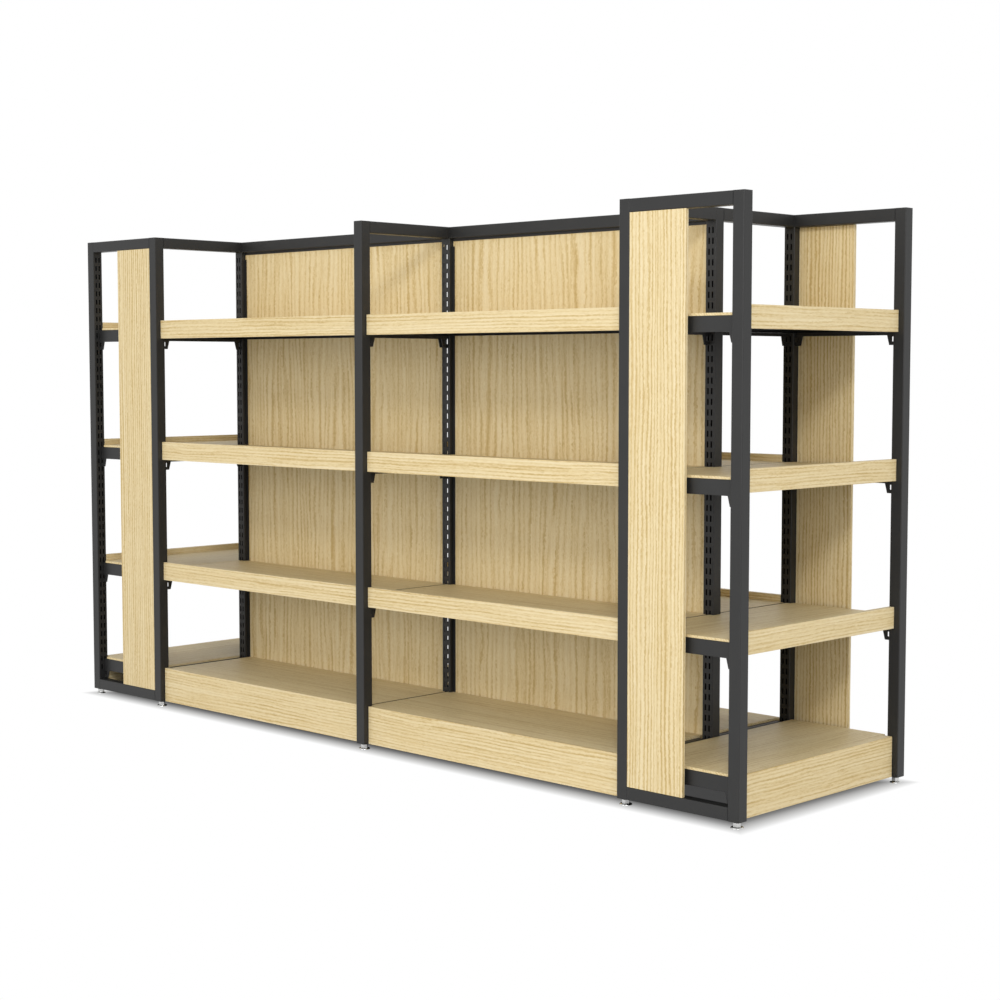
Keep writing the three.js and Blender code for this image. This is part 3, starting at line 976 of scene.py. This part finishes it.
def end_shelf(node):
    end = 1 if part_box(node)[0].x > 0 else -1
    top = board_top(node)
    clear_y = HALF_DEPTH - POST_CLEAR
    inner_edge = POST_CLEAR if "deck" in node else BOARD_EDGE
    bm = bmesh.new()
    prism(bm, end_board_outline(inner_edge), "Z", top - BOARD_THICKNESS, top)
    for span in strips(-clear_y, clear_y):
        slab(bm, (END_PITCH - FASCIA_THICKNESS, END_PITCH), span, fascia_heights(node))
    wood = ease_edges(piece_from(bm, node + "_oak", OAK_ACROSS), BOARD_EASE)
    tray_x = (POST_CLEAR, END_PITCH - POST_CLEAR)
    tray_y = HALF_DEPTH - TRAY_SIDE
    tray = fold_tray(node + "_tray", tray_x, (-tray_y, tray_y), top - BOARD_THICKNESS)
    finish_shelf(node, wood, tray, end * LAST_FRAME, 0.0 if end > 0 else math.pi)


for node in sorted(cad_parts):
    if node.startswith(("shelf_", "deck_")):
        main_shelf(node)
    elif node.startswith(("end_shelf_", "end_deck_")):
        end_shelf(node)
print("shelves and decks dressed")

# %% [markdown]
# ## Levelling glides
#
# Under every post a bright glide screws into the plug: a disc with a rolled edge, a hexagon for
# the spanner and a threaded stem. Stacked cylinders would have hard edges and no thread, so the
# turned part is a profile spun round its axis.

# %% Levelling glides
FOOT_RADIUS = 14.9 * MM
COLLAR_RADIUS = 7.5 * MM
COLLAR_HEIGHT = 4.4 * MM
NUT_RADIUS = 9.5 * MM
NUT_FOOT = 4.1 * MM
NUT_TOP = 12.5 * MM
STEM_RADIUS = 4 * MM
STEM_FOOT = 6 * MM
THREAD_PITCH = 1.25 * MM
THREAD_DEPTH = 0.5 * MM
SPIN_STEPS = 32
MERGE_DISTANCE = 0.01 * MM
GLIDE_EASE = 0.2 * MM

# The rolled edge of the disc in millimetres: how far a point lies inside it, and its height
RIM = ((1.2, 0.0), (0.3, 0.2), (0.0, 0.6), (0.3, 1.5), (1.0, 2.6), (2.2, 3.5), (3.6, 4.0))


def glide_profile(stem_top):
    """Radius and height along the turned part: its disc, the collar on it and the thread."""
    rim = [(FOOT_RADIUS - inset * MM, height * MM) for inset, height in RIM]
    points = [(0.0, 0.0), *rim, (COLLAR_RADIUS, COLLAR_HEIGHT), (STEM_RADIUS, STEM_FOOT)]
    height = STEM_FOOT
    while height + THREAD_PITCH < stem_top:
        points.append((STEM_RADIUS - THREAD_DEPTH, height + THREAD_PITCH / 2))
        points.append((STEM_RADIUS, height + THREAD_PITCH))
        height += THREAD_PITCH
    return points + [(STEM_RADIUS - THREAD_DEPTH, stem_top), (0.0, stem_top)]


def levelling_glide(node):
    low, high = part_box(node)
    bm = bmesh.new()
    verts = [bm.verts.new((r, 0.0, z)) for r, z in glide_profile(high.z)]
    edges = [bm.edges.new(pair) for pair in zip(verts, verts[1:])]
    spin = {"cent": (0, 0, 0), "axis": (0, 0, 1), "angle": 2 * math.pi, "steps": SPIN_STEPS}
    bmesh.ops.spin(bm, geom=verts + edges, use_merge=True, **spin)
    bmesh.ops.remove_doubles(bm, verts=bm.verts, dist=MERGE_DISTANCE)
    bmesh.ops.recalc_face_normals(bm, faces=bm.faces)
    turns = [math.pi / 3 * corner for corner in range(6)]
    hexagon = [(NUT_RADIUS * math.cos(turn), NUT_RADIUS * math.sin(turn)) for turn in turns]
    prism(bm, hexagon, "Z", NUT_FOOT, NUT_TOP)
    glide = ease_edges(piece_from(bm, node + "_glide", CHROME), GLIDE_EASE, segments=1)
    middle = (low + high) / 2
    glide.data.transform(Matrix.Translation((middle.x, middle.y, 0)))
    belong(glide, node, "chrome_foot", node)


glides = [node for node in sorted(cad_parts) if node.startswith("levelling_foot_")]
for node in glides:
    levelling_glide(node)
print("glides:", len(glides))

# %% [markdown]
# ## Studio
#
# Lamps that make a grey floor white would bleach the oak as well. So the floor and the
# surroundings are white to the camera and to reflections by themselves, and give a plain soft
# light to everything else. Under the run and close round it the floor is a dark matt one to the
# camera, which keeps the real shadow there, and its white glow fades in a ramp round the run's
# footprint: a painted soft shadow, with a faint painted glow left under the run. The key lamp
# stands low, to the front and right, and throws the slanting shadows of the bars and shelves on
# the panels. Two wide lamps, in front and at the side, lighten the inside of the shelves.

# %% Studio
FLOOR_SIZE = 60.0
FLOOR_WHITE = 0.80
# Painted shadow round the run: a darker matt floor to the camera and a ramp of glow by distance
FLOOR_SHADE = 0.20
SHADOW_INSIDE = 85 * MM
SHADOW_OUTSIDE = 45 * MM
LEAST_OPEN = 0.06
AMBIENT = 0.66
KEY_WATTS = 122.0
KEY_PLACE = Vector((4.8, -4.7, 3.96))
KEY_SIZE = 1.0
FRONT_WATTS = 84.0
FRONT_PLACE = Vector((-0.3, -7.0, 1.8))
FRONT_SIZE = 3.5
SIDE_WATTS = 42.0
SIDE_PLACE = Vector((6.0, -3.6, 1.6))
SIDE_SIZE = 2.4
AIM = Vector((0.0, 0.0, 0.75))


def background_rays(flow):
    """One for rays that should meet a white background, and nought for light on the object."""
    kinds = ("Camera", "Glossy", "Transmission")
    rays = [flow.node("ShaderNodeLightPath", output=f"Is {kind} Ray") for kind in kinds]
    return flow.math("MINIMUM", rays[0] + rays[1] + rays[2], 1.0)


def painted_shadow_ramp(flow):
    """Share of white glow: a painted shadow ramp, faint under the run and one in the open."""
    place = object_place(flow)
    sides = [flow.node("ShaderNodeSeparateXYZ", inputs={0: place}, output=i) for i in range(2)]
    beside = flow.math("ABSOLUTE", sides[0]) - RUN_END
    before = flow.math("ABSOLUTE", sides[1]) - HALF_DEPTH
    outside = flow.math("MAXIMUM", beside, before)
    reach = {"Value": outside, "From Min": -SHADOW_INSIDE, "From Max": SHADOW_OUTSIDE}
    ramp = flow.node("ShaderNodeMapRange", inputs=reach)
    return flow.math("MAXIMUM", ramp * ramp, LEAST_OPEN)


# %% Floor and world
def white_floor():
    material = bpy.data.materials.new("white floor")
    material.use_nodes = True
    material.node_tree.nodes.clear()
    flow = Flow(material.node_tree)
    rays = background_rays(flow)
    # To the camera the floor is dark matt; the glow share paints a soft shadow round the run
    tone = FLOOR_WHITE - rays * (FLOOR_WHITE - FLOOR_SHADE)
    matt = flow.node("ShaderNodeBsdfDiffuse", inputs={"Color": tone})
    glow = flow.node("ShaderNodeEmission", inputs={"Color": grey(1.0), "Strength": 1.0})
    share = rays * painted_shadow_ramp(flow)
    both = flow.node("ShaderNodeMixShader", inputs={0: share, 1: matt, 2: glow})
    output = material.node_tree.nodes.new("ShaderNodeOutputMaterial")
    material.node_tree.links.new(both.socket, output.inputs["Surface"])
    return material


def studio_world():
    world = bpy.data.worlds.new("studio")
    world.use_nodes = True
    world.node_tree.nodes.clear()
    flow = Flow(world.node_tree)
    soft = flow.node("ShaderNodeBackground", inputs={"Color": grey(1.0), "Strength": AMBIENT})
    white = flow.node("ShaderNodeBackground", inputs={"Color": grey(1.0), "Strength": 1.0})
    both = flow.node("ShaderNodeMixShader", inputs={0: background_rays(flow), 1: soft, 2: white})
    output = world.node_tree.nodes.new("ShaderNodeOutputWorld")
    world.node_tree.links.new(both.socket, output.inputs["Surface"])
    return world


# %% Lamps
def lamp(name, place, size, watts):
    light = bpy.data.lights.new(name, "AREA")
    light.size = size
    light.energy = watts
    holder = bpy.data.objects.new(name, light)
    holder.location = place
    holder.rotation_euler = (AIM - place).to_track_quat("-Z", "Y").to_euler()
    bpy.context.scene.collection.objects.link(holder)


bm = bmesh.new()
floor_side = (-FLOOR_SIZE / 2, FLOOR_SIZE / 2)
bm.faces.new([bm.verts.new((u, v, 0.0)) for u, v in rectangle(floor_side, floor_side)])
piece_from(bm, "floor", white_floor())
bpy.context.scene.world = studio_world()
lamp("key", KEY_PLACE, KEY_SIZE, KEY_WATTS)
lamp("front", FRONT_PLACE, FRONT_SIZE, FRONT_WATTS)
lamp("side", SIDE_PLACE, SIDE_SIZE, SIDE_WATTS)
bpy.context.scene.view_settings.view_transform = "Standard"

# %% [markdown]
# ## Camera
#
# The camera stands to the right of the run, a little under its top, and looks slightly down. Its
# place, turn and lens were worked out from the run's straight edges in the photograph, so that
# the render lies over it.

# %% Camera
CAMERA_PLACE = (3.5964, -3.5054, 0.9898)
CAMERA_YAW = 44.195
CAMERA_PITCH = -4.077
CAMERA_LENS = 67.27
SENSOR_WIDTH = 36.0

camera = bpy.data.cameras.new("camera")
camera.lens = CAMERA_LENS
camera.sensor_width = SENSOR_WIDTH
viewer = bpy.data.objects.new("camera", camera)
viewer.location = CAMERA_PLACE
viewer.rotation_euler = (math.radians(90 + CAMERA_PITCH), 0.0, math.radians(CAMERA_YAW))
bpy.context.scene.collection.objects.link(viewer)
bpy.context.scene.camera = viewer
